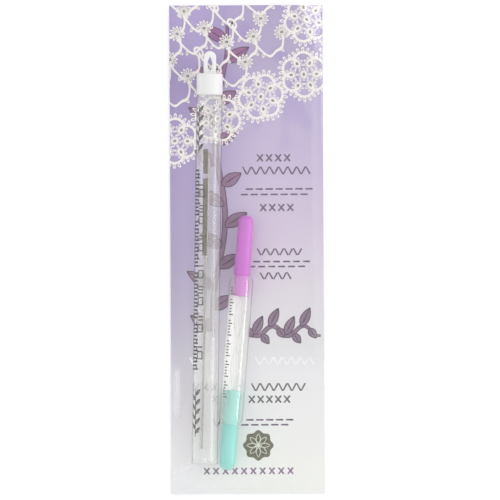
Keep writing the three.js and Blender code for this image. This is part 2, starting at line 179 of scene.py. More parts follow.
floor_bm = bmesh.new()
bmesh.ops.create_grid(floor_bm, x_segments=1, y_segments=1, size=FLOOR_HALF,
                      matrix=Matrix.Translation((0, 0, -FLOOR_DROP * MM)))
floor = added("white_floor", as_mesh(floor_bm, "white_floor"))
white_paper = new_finish("white_floor")
floor_colour = add("BsdfDiffuse", {"Color": (FLOOR_SHADE, FLOOR_SHADE, FLOOR_SHADE, 1)}, white_paper)[0]
floor_glow = add("Emission", {
    "Color": (1, 1, 1, 1), "Strength": maths("MULTIPLY", seen_directly(white_paper), FLOOR_GLOW)})[0]
show(white_paper, add("AddShader", {0: floor_colour, 1: floor_glow})[0])
floor.data.materials.append(white_paper)
floor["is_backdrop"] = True


# The sleeve's back web is clear polypropylene film, welded to the front web along both sides and
# the foot. It is heat sealed and open at the hang cap's end.
def stretched_noise(material, scale, detail=2.0, turn=0.0):
    """Fine noise on Object coordinates, its scale given in cycles to the metre along X, Y and Z."""
    place = add("TexCoord", {}, material)["Object"]
    turned_place = add("Mapping", {"Vector": place, "Rotation": (0, 0, turn), "Scale": scale})[0]
    return add("TexNoise", {"Vector": turned_place, "Scale": 1.0, "Detail": detail})[0]


def ranged(value, low, high, start=0.3, end=0.7):
    """A value from start to end, such as a noise, spread over the range from low to high."""
    return add("MapRange", {
        "Value": value, "From Min": start, "From Max": end, "To Min": low, "To Max": high})[0]


def bumped(height, distance, strength):
    """A normal that follows the height, where 1 stands for the distance in millimetres."""
    return add("Bump", {"Height": height, "Distance": distance * MM, "Strength": strength})[0]


def mixed(share, first, second):
    """The second shader in place of the first, by the share."""
    return add("MixShader", {0: share, 1: first, 2: second})[0]


clear_film = new_finish("clear_film")
crinkle = bumped(stretched_noise(clear_film, (80, 25, 80), 3.0), 0.10, 0.5)
film_shine = add("BsdfAnisotropic", {
    "Color": (0.97, 0.98, 1.0, 1), "Roughness": 0.12, "Normal": crinkle})[0]
film_gap = add("BsdfTransparent", {"Color": (0.995, 0.995, 1.0, 1)}, clear_film)[0]
edge_on = add("LayerWeight", {"Blend": 0.5, "Normal": crinkle})["Facing"]
mirror_share = maths("MULTIPLY_ADD", maths("POWER", edge_on, 5.0), 0.5, 0.018)
film_clear = mixed(mirror_share, film_gap, film_shine)
film_haze_and_highlight = add("BsdfDiffuse", {"Color": (0.93, 0.93, 0.94, 1)}, clear_film)[0]
# This attribute holds the film's faint haze and the highlights painted on it in white.
haze_and_highlight_share = add("Attribute", {}, clear_film, attribute_name="haze_and_highlights")["Fac"]
wisps = ranged(stretched_noise(clear_film, (400, 90, 400), 4.0), 0.7, 1.2)
show(clear_film, mixed(maths("MULTIPLY", haze_and_highlight_share, wisps), film_clear, film_haze_and_highlight))

back_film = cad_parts["sleeve_back_film"]
back_film.material_slots[0].material = clear_film


# The leaflet is one sheet of smooth paper, folded in three, its face printed from lavender at the
# hang cap's end to a pale grey at the foot. Left of the tubes its colour is darker, painted shade
# for the tubes and handles lit from the right. The folds and the back are paler.
LEAFLET_HALF = Vector((33.9, 107.95))
PAINTED_SHADE_FADES = (-28 * MM, 12 * MM)
PRINTED_ABOVE = (1.25 * MM, 1.32 * MM)
PATCH_VIOLET = (0.36, 0.27, 0.53, 1)
BARE_PAPER = (0.87, 0.87, 0.88, 1)
INK_SPECULAR = 0.35


def ramp(value, stops):
    """A colour band along value, from (place, (red, green, blue)) stops in linear light."""
    banded = add("ValToRGB", {0: value})[0]
    band = banded.node.color_ramp
    band.interpolation = "LINEAR"
    while len(band.elements) < len(stops):
        band.elements.new(0.5)
    for element, (place, colour) in zip(band.elements, stops):
        element.position = place
        element.color = (*colour, 1)
    return banded


def blended(share, first, second, how="MIX"):
    """The second colour in place of the first by the share, or multiplied on it."""
    return add("Mix", {0: share, 6: first, 7: second}, data_type="RGBA", blend_type=how)[2]


def along_leaflet(axis):
    """0 at the leaflet's end beside the hang cap, 1 at its foot."""
    return ranged(axis, 0.0, 1.0, LEAFLET_HALF.y * MM, -LEAFLET_HALF.y * MM)


def object_axes(material):
    return add("SeparateXYZ", {0: add("TexCoord", {}, material)["Object"]})


def surfaced(material, sockets):
    """Gives an opaque material its surface, with these values on its sockets."""
    return show(material, add("BsdfPrincipled", sockets, material)[0])


printed_paper = new_finish("printed_paper")
paper_axes = object_axes(printed_paper)
down = along_leaflet(paper_axes[1])
wavering = maths("MULTIPLY_ADD", stretched_noise(printed_paper, (28, 20, 28), 2.0), 0.05, down)
# Left of the tubes the colours are darker than the print alone: painted shade, for the shade the tubes
# cast with the lamp on the right.
left_print_and_shade = ramp(wavering, [
    (0.03, (0.40, 0.32, 0.57)), (0.22, (0.35, 0.27, 0.50)), (0.37, (0.40, 0.32, 0.54)),
    (0.55, (0.43, 0.37, 0.54)), (0.68, (0.50, 0.46, 0.57)), (0.78, (0.63, 0.60, 0.65)),
    (0.90, (0.75, 0.73, 0.74)), (0.99, (0.84, 0.84, 0.83))])
right_print = ramp(wavering, [
    (0.03, (0.42, 0.35, 0.54)), (0.14, (0.45, 0.38, 0.55)), (0.22, (0.50, 0.43, 0.62)),
    (0.32, (0.55, 0.47, 0.64)), (0.48, (0.64, 0.56, 0.68)), (0.62, (0.71, 0.67, 0.71)),
    (0.73, (0.74, 0.73, 0.73)), (0.78, (0.80, 0.79, 0.79)), (0.99, (0.85, 0.86, 0.80))])
# The shaded left colours give way to the right ones across this range.
across = add("MapRange", {
    "Value": paper_axes[0], "From Min": PAINTED_SHADE_FADES[0], "From Max": PAINTED_SHADE_FADES[1]},
    interpolation_type="SMOOTHSTEP")[0]
print_and_painted_shade = blended(across, left_print_and_shade, right_print)
patch = ranged(stretched_noise(printed_paper, (70, 50, 70), 1.0), 0.0, 1.0, 0.52, 0.62)
patch_share = maths("MULTIPLY", patch, ranged(down, 0.0, 0.6, 0.36, 0.1))
patched = blended(patch_share, print_and_painted_shade, PATCH_VIOLET)
face_side = ranged(paper_axes[2], 0.0, 1.0, *PRINTED_ABOVE)
sided = blended(face_side, blended(0.22, BARE_PAPER, patched), patched)
fibre = stretched_noise(printed_paper, (2600, 2600, 2600), 3.0)
fibre_tone = ramp(fibre, [(0.3, (0.9, 0.9, 0.9)), (0.6, (1.0, 1.0, 1.0))])
surfaced(printed_paper, {
    "Base Color": blended(0.35, sided, fibre_tone, "MULTIPLY"),
    "Roughness": ranged(fibre, 0.5, 0.68),
    "Normal": bumped(fibre, 0.01, 0.4), "Specular IOR Level": INK_SPECULAR})

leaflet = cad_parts["folded_leaflet"]
leaflet.material_slots[0].material = printed_paper


# The print on the leaflet's face starts with tatted lace in cream thread: rings of double stitches
# joined in medallions, with a net of swags above them. It is ink, so it stands a hair above the paper.
INK = 0.016
SUNK = 0.03
HAIR = 0.0015
TRIM = 0.05
SHARP = 0.6
SCALLOP = 3.9
SWAG = 6.4
MEDALLION = Sizes(scallops=6, scallop_out=5.9, knot_out=5.6, apart=21.4)
LACE_LEAN = radians(27)
LACE_EDGE = Vector((6.5, 67.5))
CORNER_MEDALLION = Vector((27.0, 101.5))
NET_LEAN = radians(16)
NET = Sizes(corner=(-8.0, 64.0), first_row=17.0, row=9.4, clear=14.0, top=118)


def thread_arc(bm, radius, width, steps, start=0.0, sweep=tau, squeeze=(1.0, 1.0)):
    """A flat ribbon of thread round the origin. Its UV is in millimetres along it, and 0 to 1 across."""
    uv = bm.loops.layers.uv.verify()
    before = set(bm.faces)
    ends = [bm.verts.new((r * cos(start), r * sin(start), 0))
            for r in (radius - width / 2, radius + width / 2)]
    edge = bm.edges.new(ends)
    closed = sweep > tau - 0.001
    bmesh.ops.spin(bm, geom=[*ends, edge], cent=(0, 0, 0), axis=(0, 0, 1), angle=sweep,
                   steps=steps, use_merge=closed, use_duplicate=False)
    made = [face for face in bm.faces if face not in before]
    for face in made:
        middle = face.calc_center_median()
        for loop in face.loops:
            point = loop.vert.co
            turn = atan2(middle.x * point.y - middle.y * point.x, middle.dot(point))
            along = (atan2(middle.y, middle.x) + turn) * radius
            loop[uv].uv = (along, 0.0 if point.length < radius else 1.0)
    verts = {vert for face in made for vert in face.verts}
    for vert in verts:
        vert.co.x *= squeeze[0]
        vert.co.y *= squeeze[1]
    return verts


def moved(bm, verts, matrix):
    bmesh.ops.transform(bm, matrix=matrix, verts=list(verts))


def set_at(x=0.0, y=0.0, z=0.0, turn=0.0):
    return Matrix.Translation((x, y, z)) @ Matrix.Rotation(turn, 4, "Z")


def picot(bm, distance, direction, length, breadth):
    """A small open loop of thread that stands out from the origin at a distance."""
    loop = thread_arc(bm, 0.5, 0.4, 8, squeeze=(length, breadth))
    moved(bm, loop, set_at(turn=direction) @ set_at(distance + 0.45 * length, 0, HAIR))


def coloured(verts, index):
    """Gives the faces round these corners one of the print's inks."""
    for face in {face for vert in verts for face in vert.link_faces}:
        face.material_index = index


def dark_eye(bm, length, breadth):
    """The shadow printed in a ring's small hole."""
    coloured(bmesh.ops.create_circle(bm, cap_ends=True, segments=10, radius=1.0,
                                     matrix=Matrix.Diagonal((length, breadth, 1, 1)))["verts"], 1)


def stamped(bm, mesh, matrix):
    """Adds a copy of a flat pattern to the print."""
    before = set(bm.verts)
    bm.from_mesh(mesh)
    moved(bm, [vert for vert in bm.verts if vert not in before], matrix)


scallop_bm = bmesh.new()
thread_arc(scallop_bm, SCALLOP, 1.0, 20, radians(-104), radians(208))
for k in range(-3, 4):
    picot(scallop_bm, SCALLOP + 0.3, k * radians(25), 2.0, 1.05)
scallop = as_mesh(scallop_bm)


def flower(ring, squeeze, eye, petals, reach, *petal):
    """A small ring of thread round a dark eye, with picots all round it."""
    bm = bmesh.new()
    thread_arc(bm, *ring, squeeze=squeeze)
    dark_eye(bm, *eye)
    for k in range(petals):
        picot(bm, reach, k * tau / petals, *petal)
    return as_mesh(bm)


knot = flower((0.85, 0.55, 12), (1.5, 1.0), (0.8, 0.5), 8, 1.25, 1.5, 0.85)
daisy = flower((0.95, 0.5, 14), (1.35, 0.9), (0.9, 0.6), 12, 1.15, 2.2, 0.8)

medallion_bm = bmesh.new()
for k in range(MEDALLION.scallops):
    around = k * tau / MEDALLION.scallops
    between = around + pi / MEDALLION.scallops
    stamped(medallion_bm, scallop,
            set_at(turn=around) @ set_at(MEDALLION.scallop_out, 0, (k % 2) * 2 * HAIR))
    stamped(medallion_bm, knot, set_at(turn=between) @ set_at(MEDALLION.knot_out, 0, 8 * HAIR))
stamped(medallion_bm, knot, set_at(z=12 * HAIR))
medallion = as_mesh(medallion_bm)

eyelet_bm = bmesh.new()
thread_arc(eyelet_bm, 1.5, 0.75, 16, squeeze=(1.0, 1.55))
eyelet = as_mesh(eyelet_bm)

swag_bm = bmesh.new()
thread_arc(swag_bm, SWAG, 0.9, 24, radians(176), radians(186), (1.0, 1.3))
for vert in swag_bm.verts:
    vert.co.y += 0.7 * sin(vert.co.x * 0.9)
for k in (-1, 1):
    picot(swag_bm, SWAG + 1.6, radians(270 + 30 * k), 1.7, 0.95)
swag = as_mesh(swag_bm)

# Medallions stand along a slanting edge and fill the corner, and a net of swags hangs above them.
lace_bm = bmesh.new()
edge_way = Vector((cos(LACE_LEAN), sin(LACE_LEAN)))
medallion_places = [LACE_EDGE + edge_way * MEDALLION.apart * k for k in range(-2, 3)]
medallion_places += [CORNER_MEDALLION]
for k, place in enumerate(medallion_places):
    stamped(lace_bm, medallion, set_at(*place, (k % 2) * 30 * HAIR, 0.5 + 0.37 * k))
swags = {}
for row in range(7):
    for column in range(-6, 7):
        s = (column + 0.5 * (row % 2)) * 2 * SWAG + 0.9 * sin(2.1 * row + column)
        t = NET.first_row + NET.row * row + 0.8 * cos(1.3 * column + row)
        x = NET.corner[0] + s * cos(NET_LEAN) - t * sin(NET_LEAN)
        y = NET.corner[1] + s * sin(NET_LEAN) + t * cos(NET_LEAN)
        clear = min((Vector((x + SWAG, y - 3)) - place).length for place in medallion_places)
        above_edge = y >= LACE_EDGE.y + (x - LACE_EDGE.x) * tan(LACE_LEAN)
        if clear >= NET.clear and above_edge and y <= NET.top:
            swags[row, column] = x, y
for (row, column), (x, y) in swags.items():
    lift = ((row + column) % 3) * 4 * HAIR + 60 * HAIR
    sway = NET_LEAN + 0.12 * sin(column + 2 * row)
    stamped(lace_bm, swag, set_at(x + SWAG, y, lift, sway))
    if (row + column) % 3:
        stamped(lace_bm, daisy, set_at(x, y, lift + 20 * HAIR, 0.5 * column))
    else:
        stamped(lace_bm, eyelet, set_at(x, y - 1.2, lift + 20 * HAIR, NET_LEAN + 0.4))
    if (row, column + 1) not in swags:
        far_end = SWAG * (1 + cos(sway)), SWAG * sin(sway)
        stamped(lace_bm, daisy, set_at(x + far_end[0], y + far_end[1], lift + 20 * HAIR, 0.3))


def verts_in(items):
    return [item for item in items if isinstance(item, bmesh.types.BMVert)]


def thickened(bm, height):
    """Gives a flat shape a second side, at a height above the first."""
    other_side = verts_in(bmesh.ops.extrude_face_region(bm, geom=bm.faces[:])["geom"])
    bmesh.ops.translate(bm, verts=other_side, vec=(0, 0, height))


def faced_outwards(bm):
    bmesh.ops.recalc_face_normals(bm, faces=bm.faces)


def settled(bm, place=Matrix.Identity(4)):
    """Sets a shape drawn in millimetres in its place, in metres."""
    bmesh.ops.transform(bm, matrix=place, verts=bm.verts)
    bmesh.ops.scale(bm, verts=bm.verts, vec=(MM, MM, MM))
    return bm


def piece(name, bm, materials, body, slot, *replaced):
    """The finished mesh as an object at the origin that rides on its CAD body."""
    for face in bm.faces:
        face.smooth = True
    for edge in bm.edges:
        edge.smooth = len(edge.link_faces) == 2 and edge.calc_face_angle(0.0) < SHARP
    made = added(name, as_mesh(bm, name))
    for material in materials:
        made.data.materials.append(material)
    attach(made, body)
    if replaced:
        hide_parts(*replaced)


def printed(name, bm, *inks):
    """A flat print as a piece, cut off at the leaflet's edges, with its lower side sunk in the paper."""
    for axis, limit in enumerate(LEAFLET_HALF):
        for side in (-1, 1):
            spot = Vector((0, 0, 0))
            spot[axis] = side * (limit - TRIM)
            out = Vector((0, 0, 0))
            out[axis] = side
            bmesh.ops.bisect_plane(bm, geom=[*bm.verts, *bm.edges, *bm.faces], plane_co=spot,
                                   plane_no=out, clear_outer=True)
    bmesh.ops.translate(bm, verts=bm.verts, vec=(0, 0, LEAFLET_FACE + INK))
    thickened(bm, -SUNK)
    faced_outwards(bm)
    piece(name, settled(bm), inks, "leaflet", "printed_paper")


def mottled(material, scale, low, high, stops=(0.3, 0.7), detail=2.0):
    """A colour that varies between two in fine spots."""
    return ramp(stretched_noise(material, (scale, scale, scale), detail), list(zip(stops, (low, high))))


cream_thread = new_finish("cream_thread_print")
thread_axes = add("SeparateXYZ", {0: add("UVMap", {}, cream_thread, uv_map="UVMap")[0]})
stitch = maths("SINE", maths("MULTIPLY", thread_axes[0], 9.0))
rounded_thread = maths("MULTIPLY_ADD", stitch, 0.08, maths("PINGPONG", thread_axes[1], 0.5))
thread_colour = ramp(rounded_thread, [
    (0.02, (0.86, 0.82, 0.77)), (0.12, (0.97, 0.94, 0.88)), (0.40, (1.0, 1.0, 0.95))])
thread_grain = mottled(cream_thread, 900, (0.95, 0.94, 0.91), (1.0, 1.0, 1.0), (0.3, 0.5), 3.0)
surfaced(cream_thread, {
    "Base Color": blended(0.8, thread_colour, thread_grain, "MULTIPLY"),
    "Roughness": 0.55, "Specular IOR Level": INK_SPECULAR})


def print_ink(name, low, high, scale=700, stops=(0.35, 0.65)):
    """A printing ink, mottled between two colours."""
    ink = new_finish(name)
    return surfaced(ink, {"Base Color": mottled(ink, scale, low, high, stops),
                          "Roughness": 0.5, "Specular IOR Level": INK_SPECULAR})


eye_ink = print_ink("eye_ink", (0.20, 0.205, 0.18), (0.30, 0.30, 0.27))
printed("printed_lace", lace_bm, cream_thread, eye_ink)


# A plum branch with pointed leaves is printed behind the needle tube, and a spray of the same kind
# crosses the leaflet below the middle. Each stroke has a thin dark edge.
BRANCH = Sizes(top=99, length=138, steps=80, leaves=15, first_leaf=92.0, leaves_apart=9.1)
SPRAY = Sizes(start=-6, length=38.5, steps=44, y=-36.2, wave=2.2, leaves=10)


def edged(bm, made, edge, fill, border):
    """Fills a printed shape with one ink and edges it with another."""
    rim_highlight = bmesh.ops.inset_region(bm, faces=made, thickness=edge, use_even_offset=True,
                                 use_boundary=True)["faces"]
    for face in rim_highlight:
        face.material_index = border
    for face in made:
        if face.is_valid:
            face.material_index = fill


def leaf(bm, length, breadth, matrix, edge, fill=0, border=1):
    """A pointed leaf from the origin along X."""
    before = set(bm.faces)
    verts = bmesh.ops.create_circle(bm, cap_ends=True, radius=1.0, segments=22)["verts"]
    for vert in verts:
        share = (1 - vert.co.x) / 2
        side = 1 if vert.co.y >= 0 else -1
        vert.co.x = length * share
        vert.co.y = side * breadth / 2 * sin(pi * share ** 0.82) ** 0.8
    moved(bm, verts, matrix)
    edged(bm, [face for face in bm.faces if face not in before], edge, fill, border)


def stem(bm, points, breadths, height, edge, border=1):
    """A printed stroke along points, as broad at each as breadths says."""
    before = set(bm.faces)
    heading = []
    for k in range(len(points)):
        a = Vector(points[max(k - 1, 0)])
        b = Vector(points[min(k + 1, len(points) - 1)])
        heading.append((b - a).normalized())
    places = []
    for point, way, breadth in zip(points, heading, breadths):
        side = Vector((-way.y, way.x)) * breadth / 2
        places.append((Vector(point) + side, Vector(point) - side))
    ends = [bm.verts.new((*place, height)) for place in places[0]]
    edge_now = bm.edges.new(ends)
    for pair in places[1:]:
        out = bmesh.ops.extrude_edge_only(bm, edges=[edge_now])["geom"]
        edge_now = [item for item in out if isinstance(item, bmesh.types.BMEdge)][0]
        fresh = verts_in(out)
        old = {link.other_vert(vert) for vert in fresh for link in vert.link_edges} - set(fresh)
        for vert in fresh:
            beside = [link.other_vert(vert) for link in vert.link_edges]
            came_from = [other for other in beside if other in old][0]
            vert.co = (*pair[0 if came_from is ends[0] else 1], height)
        ends = sorted(fresh, key=lambda vert: (vert.co.xy - pair[0]).length)
    edged(bm, [face for face in bm.faces if face not in before], edge, 0, border)


def veined_leaf(bm, length, breadth, x, y, height, way):
    leaf(bm, length, breadth, set_at(x, y, height, way), 0.42)
    leaf(bm, 0.68 * length, 0.5, set_at(x, y, height + 2 * HAIR, way) @ set_at(0.14 * length), 0.06, 1)


def branch_line(y):
    """The branch's middle line, in millimetres across, at a place along the leaflet."""
    return -12.4 + 0.018 * y + 2.6 * sin(y * 0.078 + 0.6)


vine_bm = bmesh.new()
steps = BRANCH.steps
heights = [BRANCH.top - BRANCH.length * k / steps for k in range(steps + 1)]
stem(vine_bm, [(branch_line(y), y) for y in heights],
     [1.5 + 1.2 * sin(pi * k / steps) for k in range(steps + 1)], 4 * HAIR, 0.38)
for k in range(BRANCH.leaves):
    y = BRANCH.first_leaf - BRANCH.leaves_apart * k
    to_right = k % 2
    way = radians(32 if to_right else 148)
    size = (11.2 if to_right else 13.2) + 1.3 * sin(1.7 * k)
    veined_leaf(vine_bm, size, 5.9, branch_line(y), y, (8 + 5 * (k % 2)) * HAIR, way)

steps = SPRAY.steps
spray_line = [(SPRAY.start + SPRAY.length * k / steps, SPRAY.y + SPRAY.wave * sin(k * 0.4))
              for k in range(steps + 1)]
stem(vine_bm, spray_line, [1.1 + 1.1 * sin(pi * k / steps) for k in range(steps + 1)],
     18 * HAIR, 0.36)
for k in range(SPRAY.leaves):
    x, y = spray_line[2 + 4 * k]
    length, breadth, way = (5.6, 3.8, radians(-52)) if k % 2 else (9.4, 4.4, radians(64))
    veined_leaf(vine_bm, length, breadth, x, y, (22 + 5 * (k % 2)) * HAIR, way)

plum_ink = new_finish("plum_ink")
plum_band = ramp(along_leaflet(object_axes(plum_ink)[1]), [
    (0.05, (0.30, 0.12, 0.28)), (0.30, (0.31, 0.17, 0.29)), (0.50, (0.29, 0.19, 0.27)),
    (0.75, (0.27, 0.19, 0.26))])
plum_tone = mottled(plum_ink, 260, (0.80, 0.82, 0.84), (1.0, 1.0, 1.0), (0.3, 0.65), 3.0)
surfaced(plum_ink, {"Base Color": blended(0.9, plum_band, plum_tone, "MULTIPLY"),
                    "Roughness": 0.5, "Specular IOR Level": INK_SPECULAR})
dark_ink = print_ink("dark_plum_ink", (0.075, 0.045, 0.075), (0.13, 0.09, 0.125), 500, (0.3, 0.7))
printed("printed_branch", vine_bm, plum_ink, dark_ink)


# Rows of printed stitches, as on a sampler, and a small olive rosette fill the right half. The
# stitches are in mauve, grey, white and violet ink.
MAUVE, GREY, WHITE, VIOLET = range(4)
ROSETTE = Sizes(place=(4.6, -86.8), radius=6.3, wave=0.5, petals=8, hub=0.9)


def dash(bm, length, breadth, matrix, ink):
    """A stitch: a stroke along X with round ends."""
    verts = bmesh.ops.create_circle(bm, cap_ends=True, radius=breadth / 2, segments=10)["verts"]
    for vert in verts:
        vert.co.x += copysign(max(length - breadth, 0) / 2, vert.co.x)
    coloured(verts, ink)
    moved(bm, verts, matrix)


def running(bm, x, y, count, ink, pitch=4.4, length=3.4, breadth=0.8, gap=2.4):
    """Two rows of running stitches, one above the other."""
    for k in range(count):
        for row in (-0.5, 0.5):
            at = x + (k + row * 0.5 - (count - 1) / 2) * pitch
            dash(bm, length, breadth, set_at(at, y + row * gap), ink)


def crosses(bm, x, y, count, ink, pitch=4.0, size=4.2, breadth=0.8):
    for k in range(count):
        at = x + (k - (count - 1) / 2) * pitch
        dash(bm, size, breadth, set_at(at, y, 0, radians(50)), ink)
        dash(bm, size, breadth, set_at(at, y, HAIR, radians(-50)), ink)


def zigzag(bm, x, y, count, ink, pitch=2.0, size=3.9, breadth=0.75):
    for k in range(count):
        at = x + (k - (count - 1) / 2) * pitch
        dash(bm, size, breadth, set_at(at, y, (k % 2) * HAIR, radians(62 if k % 2 else -62)), ink)


stitch_bm = bmesh.new()
crosses(stitch_bm, 12.0, 40.4, 4, MAUVE)
zigzag(stitch_bm, 13.2, 34.8, 15, MAUVE)
running(stitch_bm, 13.3, 25.4, 7, MAUVE)
crosses(stitch_bm, 13.3, 18.4, 4, MAUVE)
zigzag(stitch_bm, 14.4, -1.2, 10, MAUVE, size=3.5)
running(stitch_bm, 14.2, -6.6, 6, MAUVE, length=3.2, gap=2.2)
zigzag(stitch_bm, 12.6, -11.8, 7, MAUVE, size=3.5)
zigzag(stitch_bm, 16.4, -49.4, 13, WHITE, breadth=0.8)
zigzag(stitch_bm, -20.6, -49.4, 5, WHITE, breadth=0.8)
crosses(stitch_bm, -20.0, -57.0, 3, WHITE, 3.4, 3.2)
crosses(stitch_bm, -18.8, -61.0, 3, GREY)
zigzag(stitch_bm, 13.6, -61.0, 12, GREY)
crosses(stitch_bm, 9.6, -66.4, 5, GREY, 3.9)
crosses(stitch_bm, -14.6, -66.4, 1, GREY)
running(stitch_bm, 8.6, -76.6, 5, MAUVE, gap=2.2)
zigzag(stitch_bm, -12.6, -76.6, 3, MAUVE)
crosses(stitch_bm, 4.4, -98.1, 8, VIOLET, 4.1, 3.8)
crosses(stitch_bm, -16.2, -98.1, 2, MAUVE, 4.1, 3.8)

mauve_ink = print_ink("mauve_ink", (0.12, 0.085, 0.13), (0.19, 0.145, 0.205))
grey_ink = print_ink("grey_ink", (0.10, 0.097, 0.097), (0.18, 0.17, 0.17))
white_ink = print_ink("white_ink", (0.80, 0.79, 0.80), (0.90, 0.90, 0.89))
violet_ink = print_ink("violet_ink", (0.16, 0.05, 0.18), (0.24, 0.11, 0.26))
printed("printed_stitches", stitch_bm, mauve_ink, grey_ink, white_ink, violet_ink)

petals = ROSETTE.petals
rosette_bm = bmesh.new()
disc = bmesh.ops.create_circle(rosette_bm, cap_ends=True, radius=1.0, segments=64)["verts"]
for vert in disc:
    around = atan2(vert.co.y, vert.co.x)
    vert.co.xy = vert.co.xy * (ROSETTE.radius + ROSETTE.wave * cos(petals * around))
moved(rosette_bm, disc, set_at(*ROSETTE.place))
for k in range(petals):
    spot = set_at(*ROSETTE.place, (6 + 3 * (k % 2)) * HAIR, k * tau / petals)
    leaf(rosette_bm, 4.4, 2.2, spot @ set_at(0.9), 0.3)
hub = bmesh.ops.create_circle(rosette_bm, cap_ends=True, radius=ROSETTE.hub, segments=16)["verts"]
coloured(hub, 1)
moved(rosette_bm, hub, set_at(*ROSETTE.place, 14 * HAIR))
olive_ink = print_ink("olive_ink", (0.12, 0.12, 0.08), (0.19, 0.185, 0.125))
pale_ink = print_ink("pale_ink", (0.62, 0.62, 0.52), (0.76, 0.75, 0.66))
printed("printed_rosette", rosette_bm, olive_ink, pale_ink)


# The needle tube is a clear moulded plastic tube with a closed square foot, and a drawn-in neck
# that the cap is pushed over. Ticks for gauging and a small sprig are printed on its left side.
NEEDLE_TUBE = Sizes(radius=5.75, wall=0.8, floor=1.2, edge=0.5, barrel=162.7, neck=4.7, neck_bore=3.9,
                   neck_length=7.2)
NEEDLE_TUBE_PLACE = set_at(-19.08, -94.69, 7.55, -radians(1.03))
VEIL_GROWS = (20 * MM, -55 * MM)
SIDE_ROW = -6.1
TOP_ROW = -3.0
TICKS = Sizes(count=56, start=42.0, pitch=1.62, group=14, lengths=(4.6, 3.0, 4.0, 4.0, 3.0))
LADDERS = Sizes(count=7, start=46.5, pitch=11.9, rungs=3.2)
OLIVE_BANDS = ((92.0, 126.0), (128.0, 139.0))
SPRIGS = (12.0, 137.0)
TUBE_INK = 0.012
TUBE_INK_CLEAR = 0.006


def quarter(start, end, flat_start=False, steps=8):
    """Points of a quarter ellipse between two (radius, height) points. It leaves start along the axis,
    or along the radius with flat_start."""
    points = []
    for k in range(steps + 1):
        angle = k / steps * pi / 2
        slow, quick = 1 - cos(angle), sin(angle)
        a, b = (quick, slow) if flat_start else (slow, quick)
        points.append((start[0] + (end[0] - start[0]) * a, start[1] + (end[1] - start[1]) * b))
    return points


def turned(profile, sides, softened=0.0):
    """A closed shape turned round the Y axis from (radius, height) points."""
    bm = bmesh.new()
    verts = [bm.verts.new((radius, height, 0)) for radius, height in profile]
    for pair in zip(verts, verts[1:]):
        bm.edges.new(pair)
    if (verts[0].co - verts[-1].co).length < 1e-6:
        bmesh.ops.remove_doubles(bm, verts=[verts[0], verts[-1]], dist=1e-5)
    bmesh.ops.spin(bm, geom=[*bm.verts, *bm.edges], cent=(0, 0, 0), axis=(0, 1, 0),
                   angle=tau, steps=sides, use_merge=True, use_duplicate=False)
    bmesh.ops.remove_doubles(bm, verts=bm.verts, dist=1e-4)
    bmesh.ops.dissolve_degenerate(bm, dist=1e-5, edges=bm.edges)
    faced_outwards(bm)
    if softened:
        corners = [edge for edge in bm.edges
                   if len(edge.link_faces) == 2 and edge.calc_face_angle(0.0) > SHARP]
        bmesh.ops.bevel(bm, geom=corners, offset=softened, segments=2, profile=0.5,
                        affect="EDGES", material=-1)
    return bm


t = NEEDLE_TUBE
bore = t.radius - t.wall
needle_tube_bm = settled(turned([
    (0, 0), *quarter((t.radius - t.edge, 0), (t.radius, t.edge), True),
    (t.radius, t.barrel), (t.neck, t.barrel),
    (t.neck, t.barrel + t.neck_length), (t.neck_bore, t.barrel + t.neck_length),
    (t.neck_bore, t.barrel - t.wall),
    (bore, t.barrel - t.wall - (bore - t.neck_bore)),
    *quarter((bore, t.floor + t.edge), (bore - t.edge, t.floor)), (0, t.floor),
], 96, 0.12), NEEDLE_TUBE_PLACE)


